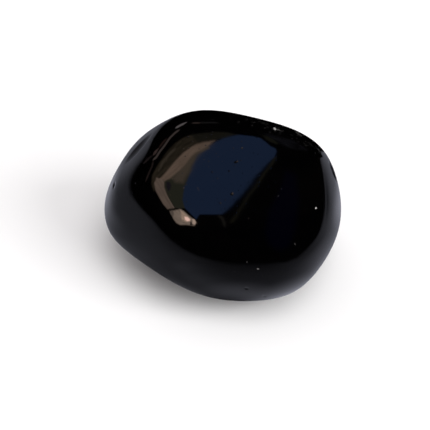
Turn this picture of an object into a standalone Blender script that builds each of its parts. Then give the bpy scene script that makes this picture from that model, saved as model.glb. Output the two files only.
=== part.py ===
"""A tumbled obsidian pebble, one solid piece of polished black volcanic glass.

Z is up, the pebble stands on its flattened sole at z = 0, its long axis runs
along X, and the broad face that looks up towards the viewer turns to -Y.
"""
import math

import bmesh
import bpy
from mathutils import Vector

MM = 0.001

# The rough lump before tumbling: half length, half depth and half height.
HALF_LENGTH = 16.9 * MM
HALF_DEPTH = 16.0 * MM
HALF_HEIGHT = 14.3 * MM

# Height of the lump's middle above the sole that the pebble rests on.
SOLE_DROP = 9.5 * MM

# The faces worn on the lump: the way each one faces (degrees round from +X,
# degrees up), its distance from the middle in mm, and how crisply it meets
# its neighbours (a larger number is a crisper edge).
WORN_FACES = (
    ("broad face", -97, 62, 9.5, 12),
    ("back slope", 69, 46, 12.1, 11),
    ("back wall", 80, -5, 12.6, 8),
    ("back left corner", 121, 46, 13.6, 14),
    ("left back wall", 154, 20, 16.4, 17),
    ("left shoulder", 178, 38, 12.9, 18),
    ("left front wall", -144, 17, 11.8, 10),
    ("right shoulder", -5, 22, 14.85, 10),
    ("front wall", -98, 8, 12.1, 9),
    ("left undercut", -133, -38, 11.7, 14),
    ("front undercut", -90, -50, 12.1, 9),
    ("right undercut", -28, -24, 15.1, 9),
    ("sole", 95, -84, 9.9, 7),
)

# Dents and chips that the tumbling left: the way the spot faces from the
# middle, half length, half width and depth in mm, and the turn of the long
# side away from level.
DENTS = (
    ("left shoulder flute", 159, 28, 3.2, 0.75, 0.17, 102),
    ("left rim pit", 170, 7, 0.65, 0.3, 0.10, 165),
    ("right rim gouge", 15, 14, 1.5, 0.4, 0.18, 85),
    ("bruise", 14, 60, 0.45, 0.35, 0.10, 25),
    ("edge chip 1", 63, 68, 0.6, 0.4, 0.08, 0),
    ("edge chip 2", 27, 64, 0.6, 0.45, 0.08, 30),
    ("edge chip 3", 12, 48, 0.7, 0.45, 0.12, 5),
    ("edge chip 4", 4, 42, 0.6, 0.4, 0.08, 80),
    ("edge chip 5", 7, 34, 0.5, 0.35, 0.10, 105),
    ("front pit", -78, -10, 0.35, 0.3, 0.06, 0),
    ("sole edge pit", -68, -17, 0.5, 0.3, 0.07, 130),
)

# Mesh fineness: the level of the starting ball, and how far past a dent's
# rim the mesh is made finer.
BALL_LEVEL = 5
FINE_MARGIN = 0.8 * MM


def facing(turn, up):
    """Unit vector that points turn degrees round from +X and up degrees above level."""
    a = math.radians(turn)
    e = math.radians(up)
    return Vector((math.cos(a) * math.cos(e), math.sin(a) * math.cos(e), math.sin(e)))


def worn_point(way):
    """Point of the worn surface, before dents, in the direction way from the middle."""
    lump = (way.x / HALF_LENGTH) ** 2 + (way.y / HALF_DEPTH) ** 2 + (way.z / HALF_HEIGHT) ** 2
    reach = 1.0 / math.sqrt(lump)
    for name, turn, up, distance, crisp in WORN_FACES:
        lean = way.dot(facing(turn, up))
        if lean > 0.05:
            limit = distance * MM / lean
            reach = (reach ** -crisp + limit ** -crisp) ** (-1.0 / crisp)
    return way * reach


def dent_frame(turn, up, long_turn):
    """Middle of a dent on the surface, with its long and its short direction."""
    way = facing(turn, up)
    level = Vector((-math.sin(math.radians(turn)), math.cos(math.radians(turn)), 0.0))
    rise = way.cross(level)
    t = math.radians(long_turn)
    along = level * math.cos(t) + rise * math.sin(t)
    across = rise * math.cos(t) - level * math.sin(t)
    return worn_point(way), along, across


def dent_depth(point, frames):
    """How deep the dents go below a point of the worn surface."""
    deepest = 0.0
    for (name, turn, up, half_long, half_wide, depth, long_turn), frame in zip(DENTS, frames):
        middle, along, across = frame
        step = point - middle
        if step.length > half_long * MM * 1.5:
            continue
        far = (step.dot(along) / (half_long * MM)) ** 2 + (step.dot(across) / (half_wide * MM)) ** 2
        if far < 1.0:
            deepest = max(deepest, depth * MM * (1.0 - far) ** 2)
    return deepest


def edges_near_dents(bm, frames, margin):
    """Edges whose middle lies on a dent or within margin of its rim."""
    near = []
    for edge in bm.edges:
        way = (edge.verts[0].co + edge.verts[1].co).normalized()
        point = worn_point(way)
        for (name, turn, up, half_long, half_wide, depth, long_turn), frame in zip(DENTS, frames):
            middle, along, across = frame
            step = point - middle
            a = step.dot(along) / (half_long * MM + margin)
            b = step.dot(across) / (half_wide * MM + margin)
            if step.length < half_long * MM * 2 + margin and a * a + b * b < 1.0:
                near.append(edge)
                break
    return near


def make_pebble():
    """The pebble: a ball drawn out to the worn surface, dented, and flattened at the sole."""
    frames = [dent_frame(d[1], d[2], d[6]) for d in DENTS]
    bm = bmesh.new()
    bmesh.ops.create_icosphere(bm, subdivisions=BALL_LEVEL, radius=1.0)
    for margin in (FINE_MARGIN, 0.1 * MM):
        fine = edges_near_dents(bm, frames, margin)
        bmesh.ops.subdivide_edges(bm, edges=fine, cuts=1, use_grid_fill=True)
        bmesh.ops.triangulate(bm, faces=bm.faces[:])
        for vert in bm.verts:
            vert.co.normalize()
    for vert in bm.verts:
        way = vert.co.normalized()
        point = worn_point(way)
        point -= way * dent_depth(point, frames)
        point.z = max(point.z, -SOLE_DROP) + SOLE_DROP
        vert.co = point
    low = Vector([min(v.co[i] for v in bm.verts) for i in range(3)])
    high = Vector([max(v.co[i] for v in bm.verts) for i in range(3)])
    shift = Vector((-(low.x + high.x) / 2, -(low.y + high.y) / 2, 0.0))
    bmesh.ops.translate(bm, verts=bm.verts[:], vec=shift)
    bmesh.ops.recalc_face_normals(bm, faces=bm.faces[:])
    for face in bm.faces:
        face.smooth = True
    mesh = bpy.data.meshes.new("stone")
    bm.to_mesh(mesh)
    bm.free()
    stone = bpy.data.objects.new("stone", mesh)
    bpy.context.scene.collection.objects.link(stone)
    return stone


def obsidian_material():
    """Black volcanic glass with a tumbled polish."""
    mat = bpy.data.materials.new("obsidian black")
    mat.use_nodes = True
    glass = mat.node_tree.nodes["Principled BSDF"]
    glass.inputs["Base Color"].default_value = (0.0035, 0.0035, 0.0042, 1.0)
    glass.inputs["Metallic"].default_value = 0.0
    glass.inputs["Roughness"].default_value = 0.05
    glass.inputs["IOR"].default_value = 1.49
    return mat


for old in list(bpy.data.objects):
    bpy.data.objects.remove(old, do_unlink=True)

pebble = make_pebble()
pebble.data.materials.append(obsidian_material())
size = pebble.dimensions
print("pebble", [round(v * 1000, 2) for v in size], "mm,", len(pebble.data.polygons), "triangles")
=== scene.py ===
# %% [markdown]
# # A tumbled obsidian pebble
# Obsidian is volcanic glass. A rough lump of it turns for weeks in a drum with
# ever finer grit, until it is round, black and as bright as a mirror. This
# lesson makes one such pebble, about 31 mm long, and lights it like a small
# studio picture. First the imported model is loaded, because it fixes where the
# pebble lies and how large it may be.

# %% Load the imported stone
import math
import random

import bmesh
import bpy
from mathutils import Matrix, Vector
from mathutils.bvhtree import BVHTree
from mathutils.kdtree import KDTree


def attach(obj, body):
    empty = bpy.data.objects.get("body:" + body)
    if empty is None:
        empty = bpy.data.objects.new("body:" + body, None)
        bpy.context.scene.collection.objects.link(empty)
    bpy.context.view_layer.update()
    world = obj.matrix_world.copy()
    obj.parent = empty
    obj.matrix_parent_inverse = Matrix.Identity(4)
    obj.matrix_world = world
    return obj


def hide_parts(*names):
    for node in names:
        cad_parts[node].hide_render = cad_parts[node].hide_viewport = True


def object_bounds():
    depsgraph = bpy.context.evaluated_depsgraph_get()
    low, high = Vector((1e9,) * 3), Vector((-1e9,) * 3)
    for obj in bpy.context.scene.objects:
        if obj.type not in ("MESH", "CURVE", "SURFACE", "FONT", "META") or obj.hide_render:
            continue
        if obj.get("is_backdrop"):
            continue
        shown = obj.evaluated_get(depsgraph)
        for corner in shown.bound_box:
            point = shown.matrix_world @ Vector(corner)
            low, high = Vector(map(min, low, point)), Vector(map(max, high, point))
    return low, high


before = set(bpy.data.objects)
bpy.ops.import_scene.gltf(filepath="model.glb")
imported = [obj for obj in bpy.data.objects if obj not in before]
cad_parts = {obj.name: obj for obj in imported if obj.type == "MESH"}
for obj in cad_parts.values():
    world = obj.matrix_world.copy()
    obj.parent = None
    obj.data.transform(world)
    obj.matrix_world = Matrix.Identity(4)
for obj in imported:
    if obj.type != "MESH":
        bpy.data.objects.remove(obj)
cad_low, cad_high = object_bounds()
MM = 0.001
print("packed stone", [round(v / MM, 2) for v in cad_high - cad_low], "mm")

# %% [markdown]
# ## The camera
# The pebble is seen from 40 degrees above level, with a lens long enough to
# keep its proportions. The camera comes first, because the small marks of the
# stone and the light panels are placed by where this camera sees them.

# %% Camera
IMAGE_SIZE = 430
LENS = 85.0
SENSOR = 36.0
VIEW_UP = math.radians(40.0)
VIEW_DISTANCE = 130.5 * MM
AIM = Vector((-0.96, -1.27, 9.23)) * MM

camera_data = bpy.data.cameras.new("camera")
camera_data.lens = LENS
camera_data.sensor_width = SENSOR
camera = bpy.data.objects.new("camera", camera_data)
bpy.context.scene.collection.objects.link(camera)
camera.location = AIM + Vector((0, -math.cos(VIEW_UP), math.sin(VIEW_UP))) * VIEW_DISTANCE
camera.rotation_euler = (math.pi / 2 - VIEW_UP, 0, 0)
bpy.context.scene.camera = camera
print("camera at", [round(v / MM, 1) for v in camera.location], "mm")

# %% [markdown]
# ## How tumbling shapes a stone
# The rough lump is close to an ellipsoid. Wherever it rubbed for long, a
# nearly flat face was worn on it, and the faces meet in soft ridges. Sculpting
# could give this too, but a small table of worn faces is easier to correct:
# each row says which way a face looks, how far it is from the middle, and how
# crisply it meets its neighbours.

# %% Worn faces
HALF_LENGTH = 16.9 * MM
HALF_DEPTH = 16.0 * MM
HALF_HEIGHT = 14.3 * MM
SOLE_DROP = 9.5 * MM

# name, degrees round from +X, degrees up, distance in mm, crispness
WORN_FACES = (
    ("broad face", -97, 62, 9.5, 12),
    ("back slope", 69, 46, 12.1, 11),
    ("back wall", 80, -5, 12.6, 8),
    ("back left corner", 121, 46, 13.6, 14),
    ("left back wall", 154, 20, 16.4, 17),
    ("left shoulder", 178, 38, 12.9, 18),
    ("left front wall", -144, 17, 11.8, 10),
    ("right shoulder", -5, 22, 14.85, 10),
    ("front wall", -98, 8, 12.1, 9),
    ("left undercut", -133, -38, 11.7, 14),
    ("front undercut", -90, -50, 12.1, 9),
    ("right undercut", -28, -24, 15.1, 9),
    ("sole", 95, -84, 9.9, 7),
)
# A worn face counts only where a direction leans towards it by more than this.
LEAST_LEAN = 0.05


def facing(turn, up):
    """Unit vector that points turn degrees round from +X and up degrees above level."""
    a = math.radians(turn)
    e = math.radians(up)
    return Vector((math.cos(a) * math.cos(e), math.sin(a) * math.cos(e), math.sin(e)))


FACE_WAYS = [(facing(turn, up), distance * MM, crisp)
             for name, turn, up, distance, crisp in WORN_FACES]


def worn_point(way):
    """Point of the worn surface, before dents, in the direction way from the middle."""
    lump = (way.x / HALF_LENGTH) ** 2 + (way.y / HALF_DEPTH) ** 2 + (way.z / HALF_HEIGHT) ** 2
    reach = 1.0 / math.sqrt(lump)
    for look, distance, crisp in FACE_WAYS:
        lean = way.dot(look)
        if lean > LEAST_LEAN:
            limit = distance / lean
            reach = (reach ** -crisp + limit ** -crisp) ** (-1.0 / crisp)
    return way * reach


# %% [markdown]
# ## The smooth body
# An icosphere has triangles of one size and no poles, so it suits a pebble.
# Each corner of it is pushed out to the worn surface, and whatever would reach
# below the sole is pressed flat, since that is where the pebble rests.

# %% Push a ball out to the worn surface
BALL_LEVEL = 7


def settled(point, shift):
    """The point with the sole flattened at z = 0, moved over the origin."""
    z = max(point.z, -SOLE_DROP) + SOLE_DROP
    return Vector((point.x + shift.x, point.y + shift.y, z))


ball = bmesh.new()
bmesh.ops.create_icosphere(ball, subdivisions=BALL_LEVEL, radius=1.0)
smooth_points = [worn_point(v.co.normalized()) for v in ball.verts]
low = [min(p[i] for p in smooth_points) for i in range(2)]
high = [max(p[i] for p in smooth_points) for i in range(2)]
SHIFT = Vector((-(low[0] + high[0]) / 2, -(low[1] + high[1]) / 2, 0))
MIDDLE = SHIFT + Vector((0, 0, SOLE_DROP))
smooth_ball = ball.copy()
for vert, point in zip(smooth_ball.verts, smooth_points):
    vert.co = settled(point, SHIFT)
smooth_stone = BVHTree.FromBMesh(smooth_ball)
smooth_ball.free()
print("ball of", len(ball.faces), "triangles, middle at", [round(v / MM, 2) for v in MIDDLE])

# %% [markdown]
# ## Looking through the camera
# A few small helpers do the measuring. One follows the line of sight through a
# pixel to the stone, and another follows it on as a mirror would send it. A
# third goes a set distance along that line, and so says where a panel must hang
# to be seen at that pixel. The last ones do the same for the floor, and say how
# much light the glass mirrors there.

# %% Sight lines
# The middle of the stone in the picture, and how far a stray pixel moves to it at a time.
STONE_PX = 223
STONE_PY = 204
HOMING_SHARE = 0.01

# The step that the slope of the surface is measured over, and the least level
# share of a mirrored line, which keeps a steep one from dividing by nothing.
NORMAL_STEP = 0.004
LEAST_LEVEL = 0.01

GLASS_IOR = 1.49
GLASS_FACE_ON = ((GLASS_IOR - 1) / (GLASS_IOR + 1)) ** 2


def sight_line(px, py):
    """Direction from the camera through a pixel of the picture."""
    across = (px - IMAGE_SIZE / 2) / IMAGE_SIZE * SENSOR / LENS
    rise = (IMAGE_SIZE / 2 - py) / IMAGE_SIZE * SENSOR / LENS
    line = camera.rotation_euler.to_matrix() @ Vector((across, rise, -1.0))
    return line.normalized()


def way_seen(px, py):
    """Direction from the stone's middle to the spot that the camera sees at a pixel.

    A pixel just off the stone is moved towards the stone's middle until it meets it.
    """
    spot = None
    while spot is None:
        spot = smooth_stone.ray_cast(camera.location, sight_line(px, py))[0]
        px += (STONE_PX - px) * HOMING_SHARE
        py += (STONE_PY - py) * HOMING_SHARE
    return (spot - MIDDLE).normalized()


def worn_normal(way):
    """Outward direction of the worn surface, from two short steps along it."""
    side = way.orthogonal().normalized() * NORMAL_STEP
    rise = way.cross(side)
    one = worn_point((way + side).normalized()) - worn_point((way - side).normalized())
    two = worn_point((way + rise).normalized()) - worn_point((way - rise).normalized())
    return one.cross(two).normalized()


def mirrored(px, py):
    """Spot of the stone at a pixel, and the direction in which it mirrors the camera's view."""
    way = way_seen(px, py)
    normal = worn_normal(way)
    line = sight_line(px, py)
    spot = settled(worn_point(way), SHIFT)
    return spot, line - normal * 2 * line.dot(normal)


def mirror_spot(px, py, distance):
    """The spot at a distance along the mirrored line of a pixel."""
    spot, line = mirrored(px, py)
    return spot + line * distance


def floor_spot(px, py, farthest):
    """Where the mirrored line of a pixel meets the floor, or the farthest spot that way."""
    spot, line = mirrored(px, py)
    level = max(math.hypot(line.x, line.y), LEAST_LEVEL)
    reach = farthest / level
    if line.z < 0:
        reach = min(reach, -spot.z / line.z)
    end = spot + line * reach
    return Vector((end.x, end.y, 0))


def bounce_share(px, py):
    """Share of the light that the glass mirrors at a pixel: low face on, high at a grazing angle."""
    spot, line = mirrored(px, py)
    back = line - sight_line(px, py)
    lean = back.length / 2
    return GLASS_FACE_ON + (1 - GLASS_FACE_ON) * (1 - lean) ** 5


FACE_PX = 212
FACE_PY = 175
print("the middle of the broad face mirrors", [round(v, 2) for v in mirrored(FACE_PX, FACE_PY)[1]])

# %% [markdown]
# ## Dents and chips
# Stones knock against each other in the drum. Most knocks polish out and leave
# a shallow dent, but a few chips along the back ridge and one white bruise
# stayed. The larger ones are the dents of the imported solid, given by the way
# they face. Two of them, the flute and the gouge, are made wider here than in
# the solid, because the camera sees them at such a flat angle that they would
# hardly show. The finer marks are given by the pixel where the camera sees
# them, with a share of frost: crushed glass looks white, because it has no
# smooth skin left. At the two back pits the white frost is also a painted
# glint. Scuff is a share of dullness.

# %% Dents of the imported solid and finer marks
# name, degrees round, degrees up, half length, half width and depth in mm,
# turn of the long side, frost, scuff
DENTS = (
    ("left shoulder flute", 159, 28, 3.4, 1.2, 0.17, 102, 0.0, 0.7),
    ("left rim pit", 170, 7, 0.65, 0.3, 0.10, 165, 0.0, 0.3),
    ("right rim gouge", 10.5, 15.5, 1.8, 1.3, 0.4, 86, 0.0, 0.0),
    ("bruise", 14, 60, 0.45, 0.35, 0.10, 25, 0.0, 0.0),
    ("edge chip 1", 63, 68, 0.6, 0.4, 0.08, 0, 0.0, 0.0),
    ("edge chip 2", 27, 64, 0.6, 0.45, 0.08, 30, 0.006, 0.2),
    ("edge chip 3", 12, 48, 0.7, 0.45, 0.12, 5, 0.04, 0.2),
    ("edge chip 4", 4, 42, 0.6, 0.4, 0.08, 80, 0.006, 0.2),
    ("edge chip 5", 7, 34, 0.5, 0.35, 0.10, 105, 0.02, 0.2),
    ("front pit", -78, -10, 0.35, 0.3, 0.06, 0, 0.0, 0.3),
    ("sole edge pit", -68, -17, 0.5, 0.3, 0.07, 130, 0.0, 0.3),
)

# name, pixel across, pixel down, half length, half width and depth in mm, turn, frost
FINE_MARKS = (
    ("front speck 1", 258, 269, 0.15, 0.11, 0.03, 0, 0.22),
    ("front speck 2", 247, 262, 0.08, 0.07, 0.03, 0, 0.10),
    ("right speck 1", 316, 208, 0.16, 0.09, 0.03, 15, 0.7),
    ("right speck 2", 295, 244, 0.16, 0.06, 0.03, 100, 0.06),
    ("bruise rim", 275, 128.5, 0.24, 0.20, 0.03, 25, 0.5),
    ("bruise rim below", 278.5, 129.6, 0.30, 0.10, 0.02, 40, 0.10),
    ("face pit 1", 242, 148, 0.13, 0.11, 0.03, 10, 0.03),
    ("face pit 2", 236, 162, 0.28, 0.14, 0.07, 0, 0.006),
    ("face pit 3", 232, 194, 0.22, 0.18, 0.08, 60, 0.01),
    ("face pit 4", 229, 171, 0.12, 0.10, 0.02, 0, 0.0),
    ("face pit 5", 212, 172, 0.12, 0.10, 0.02, 0, 0.0),
    ("face pit 6", 278, 196, 0.15, 0.08, 0.03, 10, 0.01),
    # The two back pits are real pits, and their white frost is also a painted glint.
    ("back pit with painted glint 1", 319.5, 151, 0.14, 0.10, 0.04, 0, 0.12),
    ("back pit with painted glint 2", 304, 143, 0.10, 0.08, 0.03, 0, 0.02),
)


# A spot farther off than this many half lengths is off the mark, and gets the far value.
REACH_SHARE = 1.5
OFF_THE_MARK = 9.0


class Mark:
    """One dent: its middle on the surface, its long and short directions, sizes and frost."""

    def __init__(self, way, half_long, half_wide, depth, long_turn, frost, scuff=0.0):
        self.way = way
        self.middle = worn_point(way)
        level = Vector((-way.y, way.x, 0)).normalized()
        rise = way.cross(level)
        t = math.radians(long_turn)
        self.along = level * math.cos(t) + rise * math.sin(t)
        self.across = rise * math.cos(t) - level * math.sin(t)
        self.half_long = half_long * MM
        self.half_wide = half_wide * MM
        self.depth = depth * MM
        self.frost = frost
        self.scuff = scuff

    def far(self, point, margin=0.0):
        """Squared distance from the middle: 0 there, 1 at the rim, which margin moves out."""
        step = point - self.middle
        if step.length > self.half_long * REACH_SHARE + margin:
            return OFF_THE_MARK
        a = step.dot(self.along) / (self.half_long + margin)
        b = step.dot(self.across) / (self.half_wide + margin)
        return a * a + b * b


marks = [Mark(facing(d[1], d[2]), *d[3:]) for d in DENTS]
marks += [Mark(way_seen(m[1], m[2]), *m[3:]) for m in FINE_MARKS]
print(len(marks), "dents and marks placed by hand")

# %% [markdown]
# ## The rough strip
# Along the back ridge the drum left a strip of tiny chips. Placing each by
# hand would be dull work, so they are strewn at random along the line of the
# ridge as the camera sees it. A fixed seed makes every run strew them alike.

# %% Strew fine chips along the back ridge
RIDGE = ((231, 115), (250, 120), (266, 125), (280, 131), (296, 138), (310, 145), (322, 151))
CHIPS_PER_STEP = 12
CHIP_STRAY = 0.035
# smallest and largest half length in mm, and the width and depth as shares of it
CHIP_SIZE = (0.06, 0.22)
CHIP_SHAPE = (0.75, 0.2)
CHIP_FROST = 0.012
STRAY_PITS = 70
PIT_SIZE = (0.05, 0.13)
PIT_SHAPE = (0.8, 0.22)
PIT_FROST = 0.01
LOWEST_PIT = -0.8

dice = random.Random(7)
for (x0, y0), (x1, y1) in zip(RIDGE, RIDGE[1:]):
    for k in range(CHIPS_PER_STEP):
        t = dice.random()
        way = way_seen(x0 + (x1 - x0) * t, y0 + (y1 - y0) * t)
        stray = Vector([dice.gauss(0, CHIP_STRAY) for i in range(3)])
        size = dice.uniform(*CHIP_SIZE)
        marks.append(Mark((way + stray).normalized(), size, size * CHIP_SHAPE[0], size * CHIP_SHAPE[1],
                          dice.uniform(0, 180), dice.uniform(0.0, CHIP_FROST)))

for k in range(STRAY_PITS):
    way = facing(dice.uniform(0, 360), math.degrees(math.asin(dice.uniform(LOWEST_PIT, 1))))
    size = dice.uniform(*PIT_SIZE)
    marks.append(Mark(way, size, size * PIT_SHAPE[0], size * PIT_SHAPE[1],
                      dice.uniform(0, 180), dice.uniform(0.0, PIT_FROST)))
print(len(marks), "marks in all")

# %% [markdown]
# ## Finer triangles at the marks
# A small pit needs small triangles, but the rest of the pebble doesn't. So
# only the edges near a mark are cut in two, in a few rounds that close in on
# the mark. A search tree of the marks' directions keeps this quick.

# %% Cut the edges near each mark
# margin round a mark in mm, for each round of cutting
MARGINS = (0.45, 0.22, 0.10)
# After the first round, only marks shorter than this are made finer still.
SMALL_MARK = 0.6 * MM
# The body is nowhere nearer to its middle than this, which turns mm into a turn.
LEAST_REACH = 9 * MM

mark_tree = KDTree(len(marks))
for i, mark in enumerate(marks):
    mark_tree.insert(mark.way, i)
mark_tree.balance()
WIDEST = max(mark.half_long for mark in marks)


def marks_near(way, margin):
    """Marks that may reach the direction way."""
    reach = (WIDEST * REACH_SHARE + margin) / LEAST_REACH
    return [marks[i] for co, i, gap in mark_tree.find_range(way, reach)]


def near_edges(bm, margin, small_only):
    """Edges whose middle lies on a mark or within margin of its rim."""
    near = []
    for edge in bm.edges:
        way = (edge.verts[0].co + edge.verts[1].co).normalized()
        close = marks_near(way, margin)
        if small_only:
            close = [mark for mark in close if mark.half_long < SMALL_MARK]
        if close:
            point = worn_point(way)
            if any(mark.far(point, margin) < 1.0 for mark in close):
                near.append(edge)
    return near


for number, margin in enumerate(MARGINS):
    edges = near_edges(ball, margin * MM, number > 0)
    bmesh.ops.subdivide_edges(ball, edges=edges, cuts=1, use_grid_fill=True)
    bmesh.ops.triangulate(ball, faces=ball.faces[:])
    for vert in ball.verts:
        vert.co.normalize()
    print("round", number + 1, "cut", len(edges), "edges:", len(ball.faces), "triangles")

# %% [markdown]
# ## Press the marks in
# Every corner moves to the worn surface and then inwards, by as much as the
# deepest mark at that place. The same walk notes how frosted and scuffed the
# spot is, and how near to the worn back ridge, in attributes that the material
# reads later.

# %% Move the corners and note the frost
WEAR_REACH = 0.16

frost_layer = ball.verts.layers.float.new("frost")
scuff_layer = ball.verts.layers.float.new("scuff")
wear_layer = ball.verts.layers.float.new("wear")
ridge_ways = [way_seen(x, y) for x, y in RIDGE]

for vert in ball.verts:
    way = vert.co.normalized()
    point = worn_point(way)
    depth = 0.0
    frost = 0.0
    scuff = 0.0
    for mark in marks_near(way, 0.0):
        far = mark.far(point)
        if far < 1.0:
            depth = max(depth, mark.depth * (1.0 - far) ** 2)
            frost = max(frost, mark.frost * (1.0 - far ** 2))
            scuff = max(scuff, mark.scuff * (1.0 - far ** 2))
    vert[frost_layer] = frost
    vert[scuff_layer] = scuff
    ridge_gap = min((way - other).length for other in ridge_ways)
    vert[wear_layer] = max(0.0, 1.0 - ridge_gap / WEAR_REACH)
    vert.co = settled(point - way * depth, SHIFT)

bmesh.ops.recalc_face_normals(ball, faces=ball.faces[:])
for face in ball.faces:
    face.smooth = True
mesh = bpy.data.meshes.new("pebble")
ball.to_mesh(mesh)
ball.free()
pebble = bpy.data.objects.new("pebble", mesh)
bpy.context.scene.collection.objects.link(pebble)
print("pebble", [round(v / MM, 2) for v in pebble.dimensions], "mm,", len(mesh.polygons), "triangles")

# %% [markdown]
# ## Nodes in a few words
# A small helper adds a node, sets its values and links its inputs, so that a
# material reads as a list of steps.

# %% Node helper
def add_node(tree, kind, values=None, links=None, **settings):
    """Adds a node of a kind, with settings, input values and links from other sockets."""
    node = tree.nodes.new(kind)
    for key, value in settings.items():
        setattr(node, key, value)
    for key, value in (values or {}).items():
        node.inputs[key].default_value = value
    for key, socket in (links or {}).items():
        tree.links.new(socket, node.inputs[key])
    return node


# %% [markdown]
# ## Polished obsidian
# Obsidian takes light in and hardly gives any back, so nearly everything that
# the eye sees is a mirror image in the skin of the glass. The base colour is
# close to black, with faint flow bands from when it was lava. The polish isn't
# perfect either: there is a little haze, a faint waviness and pin-prick
# pores, which only show where a bright panel is mirrored.

# %% Material of the pebble
GLASS_BLACK = (0.0002, 0.0002, 0.0003, 1)
FLOW_BLACK = (0.0006, 0.0005, 0.0005, 1)
CRUSHED_WHITE = (0.75, 0.73, 0.70, 1)
# roughness of the best and the dullest polish, and what wear, frost and scuff add
BEST_POLISH = 0.025
DULL_POLISH = 0.05
WEAR_ADDS = 0.12
FROST_ADDS = 0.6
SCUFF_ADDS = 0.5


def obsidian_material():
    """Black volcanic glass with a tumbled polish, frosted where it is chipped."""
    mat = bpy.data.materials.new("polished obsidian")
    mat.use_nodes = True
    tree = mat.node_tree
    glass = tree.nodes["Principled BSDF"]
    glass.inputs["Metallic"].default_value = 0.0
    glass.inputs["IOR"].default_value = GLASS_IOR

    place = add_node(tree, "ShaderNodeTexCoord").outputs["Object"]
    turned = add_node(tree, "ShaderNodeMapping",
                      {"Rotation": (0.5, 0.3, 0.9), "Scale": (60, 60, 420)},
                      {"Vector": place})
    bands = add_node(tree, "ShaderNodeTexNoise", {"Scale": 1.0, "Detail": 4.0, "Distortion": 0.6},
                     {"Vector": turned.outputs["Vector"]})
    black = add_node(tree, "ShaderNodeValToRGB", None, {"Fac": bands.outputs["Fac"]})
    black.color_ramp.elements[0].position = 0.35
    black.color_ramp.elements[0].color = GLASS_BLACK
    black.color_ramp.elements[1].position = 0.75
    black.color_ramp.elements[1].color = FLOW_BLACK

    frost = add_node(tree, "ShaderNodeAttribute", attribute_name="frost").outputs["Fac"]
    wear = add_node(tree, "ShaderNodeAttribute", attribute_name="wear").outputs["Fac"]
    crumbs = add_node(tree, "ShaderNodeTexNoise", {"Scale": 9000.0, "Detail": 3.0}, {"Vector": place})
    grain = add_node(tree, "ShaderNodeMapRange",
                     {"From Min": 0.35, "From Max": 0.6, "To Min": 0.35, "To Max": 1.0},
                     {"Value": crumbs.outputs["Fac"]})
    # Frost paints crushed glass white; at the two back pits this white is also a painted glint.
    white = add_node(tree, "ShaderNodeMath", None,
                     {0: frost, 1: grain.outputs["Result"]}, operation="MULTIPLY")
    paint = add_node(tree, "ShaderNodeMix", {"B": CRUSHED_WHITE},
                     {"Factor": white.outputs[0], "A": black.outputs["Color"]}, data_type="RGBA")
    tree.links.new(paint.outputs["Result"], glass.inputs["Base Color"])

    haze = add_node(tree, "ShaderNodeTexNoise", {"Scale": 260.0, "Detail": 3.0}, {"Vector": place})
    polish = add_node(tree, "ShaderNodeMapRange",
                      {"From Min": 0.3, "From Max": 0.7, "To Min": BEST_POLISH, "To Max": DULL_POLISH},
                      {"Value": haze.outputs["Fac"]})
    worn = add_node(tree, "ShaderNodeMath", {1: WEAR_ADDS},
                    {0: wear, 2: polish.outputs["Result"]}, operation="MULTIPLY_ADD")
    rough = add_node(tree, "ShaderNodeMath", {1: FROST_ADDS},
                     {0: white.outputs[0], 2: worn.outputs[0]}, operation="MULTIPLY_ADD")
    scuff = add_node(tree, "ShaderNodeAttribute", attribute_name="scuff").outputs["Fac"]
    scuffed = add_node(tree, "ShaderNodeMath", {1: SCUFF_ADDS},
                       {0: scuff, 2: rough.outputs[0]}, operation="MULTIPLY_ADD")
    tree.links.new(scuffed.outputs[0], glass.inputs["Roughness"])

    pores = add_node(tree, "ShaderNodeTexVoronoi", {"Scale": 1400.0}, {"Vector": place})
    pin = add_node(tree, "ShaderNodeMapRange",
                   {"From Min": 0.06, "From Max": 0.14, "To Min": -1.0, "To Max": 0.0},
                   {"Value": pores.outputs["Distance"]})
    bump = add_node(tree, "ShaderNodeBump", {"Strength": 0.25, "Distance": 0.00001},
                    {"Height": pin.outputs["Result"]})
    peel = add_node(tree, "ShaderNodeTexNoise", {"Scale": 420.0, "Detail": 2.0}, {"Vector": place})
    peel_bump = add_node(tree, "ShaderNodeBump", {"Strength": 0.5, "Distance": 0.000004},
                         {"Height": peel.outputs["Fac"], "Normal": bump.outputs["Normal"]})
    tree.links.new(peel_bump.outputs["Normal"], glass.inputs["Normal"])
    return mat


mesh.materials.append(obsidian_material())
print("material", mesh.materials[0].name, "with", len(mesh.materials[0].node_tree.nodes), "nodes")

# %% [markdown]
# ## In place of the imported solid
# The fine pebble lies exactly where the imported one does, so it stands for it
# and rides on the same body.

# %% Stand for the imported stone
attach(pebble, "root")
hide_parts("stone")
print("pebble stands for the packed stone")

# %% [markdown]
# ## A pale floor
# The floor is a wide, white, matt sheet. The stone doesn't mirror it directly:
# a second sheet, made further down, is what the stone mirrors, so that the
# floor can be bright while its mirror image stays as dim as glass shows it.

# %% Floor and surroundings
FLOOR_REACH = 3.0
PAPER_WHITE = (0.92, 0.92, 0.92)
ROOM_COLOUR = (1.0, 0.965, 0.975, 1)
ROOM_LIGHT = 0.63


def matt_material(name, colour):
    """A plain matt finish for the stage."""
    mat = bpy.data.materials.new(name)
    mat.use_nodes = True
    paper = mat.node_tree.nodes["Principled BSDF"]
    paper.inputs["Base Color"].default_value = (*colour, 1)
    paper.inputs["Roughness"].default_value = 0.9
    paper.inputs["Specular IOR Level"].default_value = 0.0
    return mat


def stage_object(name, bm, material):
    """Turns a bmesh into a stage object."""
    data = bpy.data.meshes.new(name)
    bm.to_mesh(data)
    bm.free()
    data.materials.append(material)
    obj = bpy.data.objects.new(name, data)
    bpy.context.scene.collection.objects.link(obj)
    obj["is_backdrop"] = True
    return obj


bm = bmesh.new()
bmesh.ops.create_circle(bm, cap_ends=True, radius=FLOOR_REACH, segments=64)
floor = stage_object("floor", bm, matt_material("white paper", PAPER_WHITE))
floor.visible_glossy = False

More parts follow.
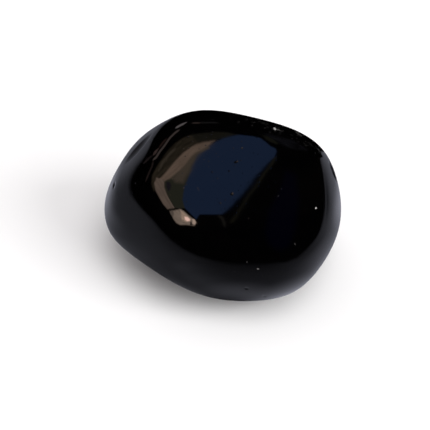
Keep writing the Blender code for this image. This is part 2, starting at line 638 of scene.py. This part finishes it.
# The scene gets the world first, because Blender looks for it there at each change.
world = bpy.data.worlds.new("studio")
bpy.context.scene.world = world
world.use_nodes = True
world.node_tree.nodes["Background"].inputs["Color"].default_value = ROOM_COLOUR
world.node_tree.nodes["Background"].inputs["Strength"].default_value = ROOM_LIGHT
world.cycles_visibility.glossy = False
bpy.context.scene.view_settings.view_transform = "Standard"
print("floor reaches", FLOOR_REACH, "m")

# %% [markdown]
# ## Two soft lights
# Two large soft lights stand in front on the right, one low and one high, so a
# soft shadow gathers round the foot of the stone and spreads to the left. Both
# are kept out of the mirror images, because the panels below draw those.

# %% Low light and high light
# name, degrees round, degrees up, strength, spread in degrees
SOFT_LIGHTS = (
    ("key", -30, 25, 2.5, 40),
    ("top", -60, 65, 1.0, 40),
)

for name, turn, up, strength, spread in SOFT_LIGHTS:
    light = bpy.data.lights.new(name, "SUN")
    light.energy = strength
    light.angle = math.radians(spread)
    lamp = bpy.data.objects.new(name, light)
    lamp.rotation_euler = facing(turn, up).to_track_quat("Z", "Y").to_euler()
    lamp.visible_glossy = False
    bpy.context.scene.collection.objects.link(lamp)
    lamp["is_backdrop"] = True
print(len(SOFT_LIGHTS), "soft lights")

# %% [markdown]
# ## Panels for the mirror images
# A glossy stone is lit by what it mirrors. Each panel is a glowing card, seen by
# mirror rays alone. Its corners are given as the pixels where the camera should
# see them on the stone, and each corner hangs at one set distance along its own
# mirrored line, so the card bends with the stone. A feathered edge fades a
# panel out softly. The colour is the one that the camera should see, and it is
# divided by the share of light that the glass mirrors there.

# %% Panel helper
# Longest run between two points of a strip in pixels, how narrow its ends are,
# and the share of its width that is feathered.
STRIP_GAP = 3.0
STRIP_TAPER = 0.35
STRIP_FEATHER = 0.3


def linear(level):
    """Light that a screen level of 0 to 255 stands for."""
    v = level / 255
    return v / 12.92 if v <= 0.04045 else ((v + 0.055) / 1.055) ** 2.4


def outline_points(corners, closed=True, gap=4.0):
    """The corners of an outline, with more points between those that are far apart."""
    ends = corners[1:] + corners[:1] if closed else corners[1:]
    points = []
    for (x0, y0), (x1, y1) in zip(corners, ends):
        count = max(1, round(math.hypot(x1 - x0, y1 - y0) / gap))
        for k in range(count):
            points.append((x0 + (x1 - x0) * k / count, y0 + (y1 - y0) * k / count))
    return points


def moved_in(points, inset):
    """A closed outline with every point moved inwards by a number of pixels."""
    area = sum(x0 * y1 - x1 * y0 for (x0, y0), (x1, y1) in zip(points, points[1:] + points[:1]))
    side = inset if area > 0 else -inset
    inner = []
    for k, (x, y) in enumerate(points):
        x0, y0 = points[k - 1]
        x1, y1 = points[(k + 1) % len(points)]
        run = max(math.hypot(x1 - x0, y1 - y0), 0.001)
        inner.append((x - (y1 - y0) / run * side, y + (x1 - x0) / run * side))
    return inner


def glow_material(name, colour, streaks, streak_turn):
    """Light of one colour, clear where the attribute 'solid' is 0, with faint streaks if asked."""
    mat = bpy.data.materials.new(name)
    mat.use_nodes = True
    tree = mat.node_tree
    tree.nodes.remove(tree.nodes["Principled BSDF"])
    solid = add_node(tree, "ShaderNodeAttribute", attribute_name="solid").outputs["Fac"]
    clear = add_node(tree, "ShaderNodeBsdfTransparent")
    glow = add_node(tree, "ShaderNodeEmission", {"Color": (*colour, 1), "Strength": 1.0})
    if streaks:
        place = add_node(tree, "ShaderNodeAttribute", attribute_name="pixel").outputs["Vector"]
        along = add_node(tree, "ShaderNodeMapping",
                         {"Rotation": (0, 0, math.radians(streak_turn)), "Scale": (14, 2.2, 1)},
                         {"Vector": place}, vector_type="TEXTURE")
        noise = add_node(tree, "ShaderNodeTexNoise", {"Scale": 1.0, "Detail": 3.0},
                         {"Vector": along.outputs["Vector"]})
        level = add_node(tree, "ShaderNodeMapRange",
                         {"From Min": 0.3, "From Max": 0.7, "To Min": 1 - streaks, "To Max": 1 + streaks},
                         {"Value": noise.outputs["Fac"]})
        tree.links.new(level.outputs["Result"], glow.inputs["Strength"])
    mix = add_node(tree, "ShaderNodeMixShader", None,
                   {0: solid, 1: clear.outputs[0], 2: glow.outputs[0]})
    tree.links.new(mix.outputs[0], tree.nodes["Material Output"].inputs["Surface"])
    return mat


def mirror_only(obj):
    """Leaves a stage object to mirror rays alone."""
    obj.visible_camera = False
    obj.visible_diffuse = False
    obj.visible_shadow = False
    obj.visible_transmission = False


def panel(name, seen, corners, distance, feather=1.5, opacity=1.0, streaks=0.0, streak_turn=0.0):
    """A glowing card: its outline in pixels, and the colour that the camera should see there."""
    outer = outline_points(corners)
    inner = moved_in(outer, feather)
    middle = [sum(p[i] for p in outer) / len(outer) for i in range(2)]
    share = bounce_share(*middle)
    colour = [linear(level) / share for level in seen]
    bm = bmesh.new()
    solid = bm.verts.layers.float.new("solid")
    pixel = bm.verts.layers.float_vector.new("pixel")
    rings = []
    for points, level in ((outer, 0.0), (inner, opacity)):
        ring = []
        for px, py in points:
            vert = bm.verts.new(mirror_spot(px, py, distance * MM))
            vert[solid] = level
            vert[pixel] = (px, py, 0)
            ring.append(vert)
        rings.append(ring)
    for k in range(len(outer)):
        bm.faces.new((rings[0][k - 1], rings[0][k], rings[1][k], rings[1][k - 1]))
    bmesh.ops.triangulate(bm, faces=[bm.faces.new(rings[1])])
    mirror_only(stage_object(name, bm, glow_material(name, colour, streaks, streak_turn)))
    print(name, "glows", [round(c, 2) for c in colour])


def strip(name, seen, path, width, distance):
    """A thin glowing card along a path of pixels."""
    points = outline_points(path, closed=False, gap=STRIP_GAP) + [path[-1]]
    sides = [[], []]
    for k, (x, y) in enumerate(points):
        x0, y0 = points[max(k - 1, 0)]
        x1, y1 = points[min(k + 1, len(points) - 1)]
        run = math.hypot(x1 - x0, y1 - y0)
        half = width / 2 * (STRIP_TAPER if k in (0, len(points) - 1) else 1.0)
        for side, sign in zip(sides, (1, -1)):
            side.append((x - (y1 - y0) / run * half * sign, y + (x1 - x0) / run * half * sign))
    panel(name, seen, sides[0] + sides[1][::-1], distance, feather=width * STRIP_FEATHER)


def hang_panels(rows):
    """Hangs every panel of a table."""
    for name, seen, distance, look, corners in rows:
        panel(name, seen, corners, distance, **look)


def hang_strips(rows):
    """Hangs every strip of a table."""
    for name, seen, width, distance, path in rows:
        strip(name, seen, path, width, distance)


# %% [markdown]
# ## The blue and olive panels
# A wide blue-grey panel is the largest mirror image, with an olive one and a
# brown haze at its left. Thin lines mark its edges, and a few very faint panels
# keep the dark parts of the stone from looking empty. A panel that hangs nearer
# covers the ones behind it.

# %% Blue and olive panels
# name, colour seen (0 to 255), distance in mm, look, corners in pixels
WIDE_PANELS = (
    ("blue panel", (18, 27, 44), 440, {"feather": 1.2}, [
        (216, 141), (224, 137.5), (232, 135.5), (240, 134.3), (252, 135.5), (261, 137.5),
        (266.5, 142), (271, 146), (276, 148), (277.5, 151.5), (275, 157), (269, 163), (255, 178.5),
        (241, 197), (226, 212), (222, 215), (200, 215), (196, 220), (190, 214), (184, 208),
        (182, 200), (183.5, 188), (187, 178), (191, 168), (194, 160), (198, 153), (205, 147)]),
    ("olive panel", (28, 28, 22), 460, {"feather": 1.0}, [
        (208, 146), (201, 153), (197, 161), (192, 174), (188, 186), (187, 200), (189, 209),
        (175, 208.5), (168, 199), (164, 188), (164, 181), (172, 174), (182, 162), (194, 151)]),
    ("brown haze", (53, 46, 39), 410, {"feather": 4.5, "opacity": 0.95}, [
        (211, 142), (205, 149), (200, 156), (196, 164), (191, 174), (184, 185), (174, 184),
        (170, 178), (178, 168), (186, 158), (198, 149)]),
    ("dark spot", (16, 12, 20), 400, {"feather": 1.5, "opacity": 0.8}, [
        (166, 181), (170, 181.5), (172, 185), (171, 190), (168, 192), (165.5, 187)]),
)

# name, colour seen (0 to 255), width in pixels, distance in mm, path in pixels
EDGE_LINES = (
    ("right edge line", (16, 15, 10), 4.0, 450, [
        (277, 156), (269, 167), (263, 175), (256, 185), (249, 195), (243, 205), (237, 214.5),
        (230, 224)]),
    ("lower edge line", (20, 19, 17), 3.5, 455, [
        (218, 215), (222, 218), (224, 222), (225, 228)]),
)

# name, colour seen (0 to 255), distance in mm, look, corners in pixels
FAINT_PANELS = (
    ("olive corner", (14, 14, 10), 465, {"feather": 1.2}, [
        (262, 134.8), (268, 136), (274, 139), (279, 143), (277, 145), (270, 142.5), (265, 139.5)]),
    ("navy panel", (0, 0, 5), 480, {"feather": 6.0}, [
        (284, 168), (298, 172), (302, 200), (298, 232), (290, 250), (278, 254), (266, 246),
        (262, 232), (266, 210), (276, 190)]),
    ("ridge haze", (6, 6, 8), 490, {"feather": 3.0, "streaks": 0.9, "streak_turn": 20}, [
        (263, 132), (274, 134.5), (286, 138.5), (298, 143.5), (307, 148), (309, 152), (298, 151.5),
        (286, 149), (276, 143), (266, 137.5)]),
)

hang_panels(WIDE_PANELS)
hang_strips(EDGE_LINES)
hang_panels(FAINT_PANELS)

# %% [markdown]
# ## The brown panels
# The brown panels stand to the left of the blue one, as light bounced from wood
# would. The band and the strip hang nearer than the olive panel, so their edges
# lie over it, and the two arcs hang behind it. Faint streaks keep them all from
# looking like plain paper.

# %% Brown panels
# name, colour seen (0 to 255), distance in mm, look, corners in pixels
BROWN_PANELS = (
    ("brown band", (77, 64, 55), 390, {"feather": 1.8, "streaks": 0.2, "streak_turn": -40}, [
        (216, 139.5), (205, 141), (197, 143), (190, 147), (182, 153), (175, 160), (168, 168),
        (161, 176), (156, 181), (165, 182), (170, 179.5), (175, 175.5), (180, 171), (185.5, 165.5),
        (189.5, 160), (194, 155.5), (199, 151.5), (205, 148), (211, 144.5)]),
    ("brown strip", (73, 62, 55), 380, {"feather": 1.4, "streaks": 0.2, "streak_turn": 60}, [
        (156, 177), (153.5, 183), (155, 191), (158.8, 198), (163, 205), (167.5, 210),
        (175.5, 208.5), (172, 203), (168.5, 197), (165, 187), (165, 180)]),
    ("outer arc", (27, 23, 17), 470, {"feather": 2.0, "streaks": 0.45, "streak_turn": -40}, [
        (192, 134), (183, 137), (175, 142), (168, 149), (162, 157), (156, 166), (151.5, 175),
        (150.5, 184), (153.5, 193), (158, 186), (162, 180), (168, 172), (176, 163), (184, 155),
        (192, 149), (200, 143)]),
    ("arc top", (16, 15, 11), 475, {"feather": 1.8, "streaks": 0.3, "streak_turn": -80}, [
        (240, 134.5), (228, 131.5), (216, 131), (204, 132), (192, 133.5), (186, 136), (190, 141),
        (199, 143), (210, 141.5), (224, 139.5)]),
)

# name, colour seen (0 to 255), width in pixels, distance in mm, path in pixels
ARC_LINES = (
    ("arc line", (40, 35, 29), 3.4, 430, [
        (176, 148), (171, 152.5), (167.5, 156.5), (164.5, 160), (162, 163.5), (160, 168), (158, 172)]),
)

hang_panels(BROWN_PANELS)
hang_strips(ARC_LINES)

# %% [markdown]
# ## The warm patch
# The brightest mirror image is a small warm patch at the foot of the brown
# strip. It is built from small cards, each a little nearer than the last: a
# plain one first, then its shade, its light right side, its core, a lump and a
# dark notch.

# %% Warm patch
# name, colour seen (0 to 255), distance in mm, look, corners in pixels
WARM_PATCH = (
    ("warm patch", (98, 86, 77), 370, {"feather": 1.3, "streaks": 0.25, "streak_turn": 35}, [
        (169.5, 211), (174, 210), (181, 208.5), (184, 210.5), (189, 215), (195, 219.5),
        (196.5, 223.5), (194.5, 226.5), (190, 226), (186, 225.5), (180, 225.5), (176, 223.5),
        (173, 219.5)]),
    ("warm patch shade", (70, 62, 56), 365, {"feather": 1.0}, [
        (169, 211), (173, 210), (174.5, 213), (173.5, 217), (170.5, 215)]),
    ("warm patch right", (134, 114, 99), 360, {"feather": 2.0, "streaks": 0.15, "streak_turn": 40}, [
        (180, 209), (183.5, 211), (188, 215), (192, 219), (191, 222), (186, 223), (181, 221),
        (180, 215)]),
    ("warm patch core", (214, 176, 162), 350, {"feather": 1.4}, [
        (184, 216), (188, 216.5), (190.5, 219), (190, 221.5), (187, 222), (184.5, 220)]),
    ("warm patch lump", (150, 130, 117), 340, {"feather": 0.9}, [
        (192, 218.5), (195, 219.5), (196.5, 222.5), (195, 225), (192, 224)]),
    ("warm patch notch", (38, 32, 28), 330, {"feather": 0.6}, [
        (190, 221.5), (191.6, 221.5), (193, 225.5), (189.5, 225.5)]),
)

hang_panels(WARM_PATCH)

# %% [markdown]
# ## Thin streaks
# Beyond the brown panels, the ridge on the left and at the back mirrors a few
# thin streaks of light. A strip is a narrow panel along a path of pixels.

# %% Thin streaks beside the panels
# name, colour seen (0 to 255), width in pixels, distance in mm, path in pixels
STREAKS = (
    ("streak 1", (68, 64, 64), 2.6, 420, [
        (187, 122), (183, 124), (179, 126), (175, 128.4)]),
    ("streak 2", (46, 40, 38), 2.6, 425, [
        (180, 129.2), (175, 132.8), (169.9, 137.8), (167.4, 141.3), (164.9, 145), (162.3, 148.4),
        (159.8, 151.5), (156.2, 157.3), (152.5, 160.5)]),
    ("streak 3", (24, 16, 14), 2.6, 426, [
        (167, 138), (162.7, 142.9), (158.4, 148.7)]),
    ("streak 4", (42, 33, 31), 3.2, 424, [
        (158.8, 148.2), (156, 151.5), (153, 155.5)]),
    ("streak 5", (18, 14, 14), 2.8, 427, [
        (153.5, 155), (148.3, 158.8), (143.2, 164)]),
    ("streak 6", (20, 15, 14), 2.4, 432, [
        (153.5, 160), (152.2, 166), (149.5, 172), (147, 178), (145.5, 182)]),
    ("streak 7", (34, 28, 26), 2.2, 428, [
        (191.5, 123), (196, 122.9), (201, 122.8)]),
    ("streak 8", (14, 14, 14), 2.2, 429, [
        (200, 122.8), (209, 122.6), (219, 122.8)]),
)

hang_strips(STREAKS)

# %% [markdown]
# ## The mirrored floor
# The rim of the pebble mirrors the floor round it. That mirror image is dark
# where the pebble shades the floor, bright in front on the right, and fades
# with distance. A few soft blobs of light and shade on a level sheet give this.
# The front edge of the sheet follows the dark middle of the stone, pixel by
# pixel, and fades out over a few of them. Its back edge is given on the floor.

# %% Mirrored floor
# how far a mirrored line may run, and the edge of the sheet in pixels
SHEET_FAR = 400 * MM
SHEET_EDGE = [
    (180, 112.5), (178, 114), (169, 122), (162, 128), (154, 139), (150, 149), (144, 159), (138, 167.5),
    (133.5, 176), (131.5, 182), (131, 188), (132.5, 194), (136, 200), (144, 209.5), (153.5, 219), (162, 229),
    (172, 239), (184, 248), (198, 255), (215, 259.5), (230, 262), (240, 262.5), (265, 262.5), (285, 261),
    (296, 257), (306, 248), (314, 237), (318.5, 225), (321.5, 212), (323, 200), (323.5, 190), (322.5, 176),
    (321, 168), (319.7, 162), (319.3, 156),
]
# width of the fade in pixels, and the back edge in mm across and deep
SHEET_SOFT = 4.0
SHEET_BACK = ((32, 40), (29.5, 38.3), (26.5, 35.2), (22, 31), (18, 27), (6, 24), (-4, 26), (-6, 36))

# middle (across and deep) and reach in mm, and the light that the blob adds
BLOBS = (
    (9, -12.5, 9, 0.43),
    (1, -17, 7, 0.32),
    (-6, -20, 8, 0.12),
    (-15, -25, 13, 0.14),
    (0, -40, 24, -0.12),
    (23, -13, 20, 0.20),
    (75, -15, 60, 0.08),
    (22, 13, 10, 0.22),
    (45, 23, 20, -0.12),
    (90, 62, 50, -0.20),
    (-29, 15, 17, 0.5),
    (-38, 25, 17, 0.33),
    (-28, 25, 9, 0.18),
    (-40, 52, 32, 0.12),
    (-64, 92, 40, 0.12),
    (-30, -20, 22, 0.06),
)
# the same, with the share of light that is left in the middle of the shade
SHADES = ((-8, -2, 14, 0.1), (1, -7, 8.5, 0.0))
# light of the bare sheet, the distance in mm over which it fades, and its colour
SHEET_GLOW = 0.20
SHEET_FADE = 220
SHEET_COLOUR = (0.95, 0.97, 1.14, 1)


def sheet_material():
    """Glow of the mirrored floor, made of soft round blobs and the shade under the pebble."""
    mat = bpy.data.materials.new("mirrored floor")
    mat.use_nodes = True
    tree = mat.node_tree
    tree.nodes.remove(tree.nodes["Principled BSDF"])
    place = add_node(tree, "ShaderNodeTexCoord").outputs["Object"]

    def blob(x, y, reach, middle, edge):
        """Level that goes smoothly from middle to edge over a reach."""
        gap = add_node(tree, "ShaderNodeVectorMath", {1: (x * MM, y * MM, 0)}, {0: place},
                       operation="DISTANCE")
        return add_node(tree, "ShaderNodeMapRange",
                        {"From Min": 0.0, "From Max": reach * MM, "To Min": middle, "To Max": edge},
                        {"Value": gap.outputs["Value"]}, interpolation_type="SMOOTHSTEP").outputs["Result"]

    def join(operation, one, two):
        """Result of a sum or product of two levels."""
        return add_node(tree, "ShaderNodeMath", None, {0: one, 1: two}, operation=operation).outputs[0]

    level = blob(0, 0, SHEET_FADE, SHEET_GLOW, 0.0)
    for x, y, reach, light in BLOBS:
        level = join("ADD", level, blob(x, y, reach, light, 0.0))
    for x, y, reach, share in SHADES:
        level = join("MULTIPLY", level, blob(x, y, reach, share, 1.0))
    level = add_node(tree, "ShaderNodeMath", {1: 0.0}, {0: level}, operation="MAXIMUM").outputs[0]
    solid = add_node(tree, "ShaderNodeAttribute", attribute_name="solid").outputs["Fac"]
    glow = add_node(tree, "ShaderNodeEmission", {"Color": SHEET_COLOUR},
                    {"Strength": join("MULTIPLY", level, solid)})
    tree.links.new(glow.outputs[0], tree.nodes["Material Output"].inputs["Surface"])
    return mat


def moved_out(px, py, step):
    """A pixel moved away from the middle of the stone by a number of pixels."""
    run = math.hypot(px - STONE_PX, py - STONE_PY)
    return px + (px - STONE_PX) / run * step, py + (py - STONE_PY) / run * step


bm = bmesh.new()
solid = bm.verts.layers.float.new("solid")
edge_pixels = outline_points(SHEET_EDGE, closed=False)
rim = [bm.verts.new(floor_spot(px, py, SHEET_FAR)) for px, py in edge_pixels]
body = [bm.verts.new(floor_spot(*moved_out(px, py, SHEET_SOFT), SHEET_FAR)) for px, py in edge_pixels]
for k in range(1, len(rim)):
    bm.faces.new((rim[k - 1], rim[k], body[k], body[k - 1]))
back = [bm.verts.new((x * MM, y * MM, 0)) for x, y in SHEET_BACK]
for vert in body + back:
    vert[solid] = 1.0
bmesh.ops.triangulate(bm, faces=[bm.faces.new(body + back)])
mirror_only(stage_object("mirrored_floor", bm, sheet_material()))
print("mirrored floor with", len(edge_pixels), "spots along its edge")

# %% [markdown]
# ## Measure and finish
# The pebble must fill the same box as the imported solid. The last line prints
# how far the two boxes differ.

# %% Sizes and finish
seen_low, seen_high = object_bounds()
gaps = [round((a - b) / MM, 3) for a, b in zip(seen_high - seen_low, cad_high - cad_low)]
print("box differs by", gaps, "mm")
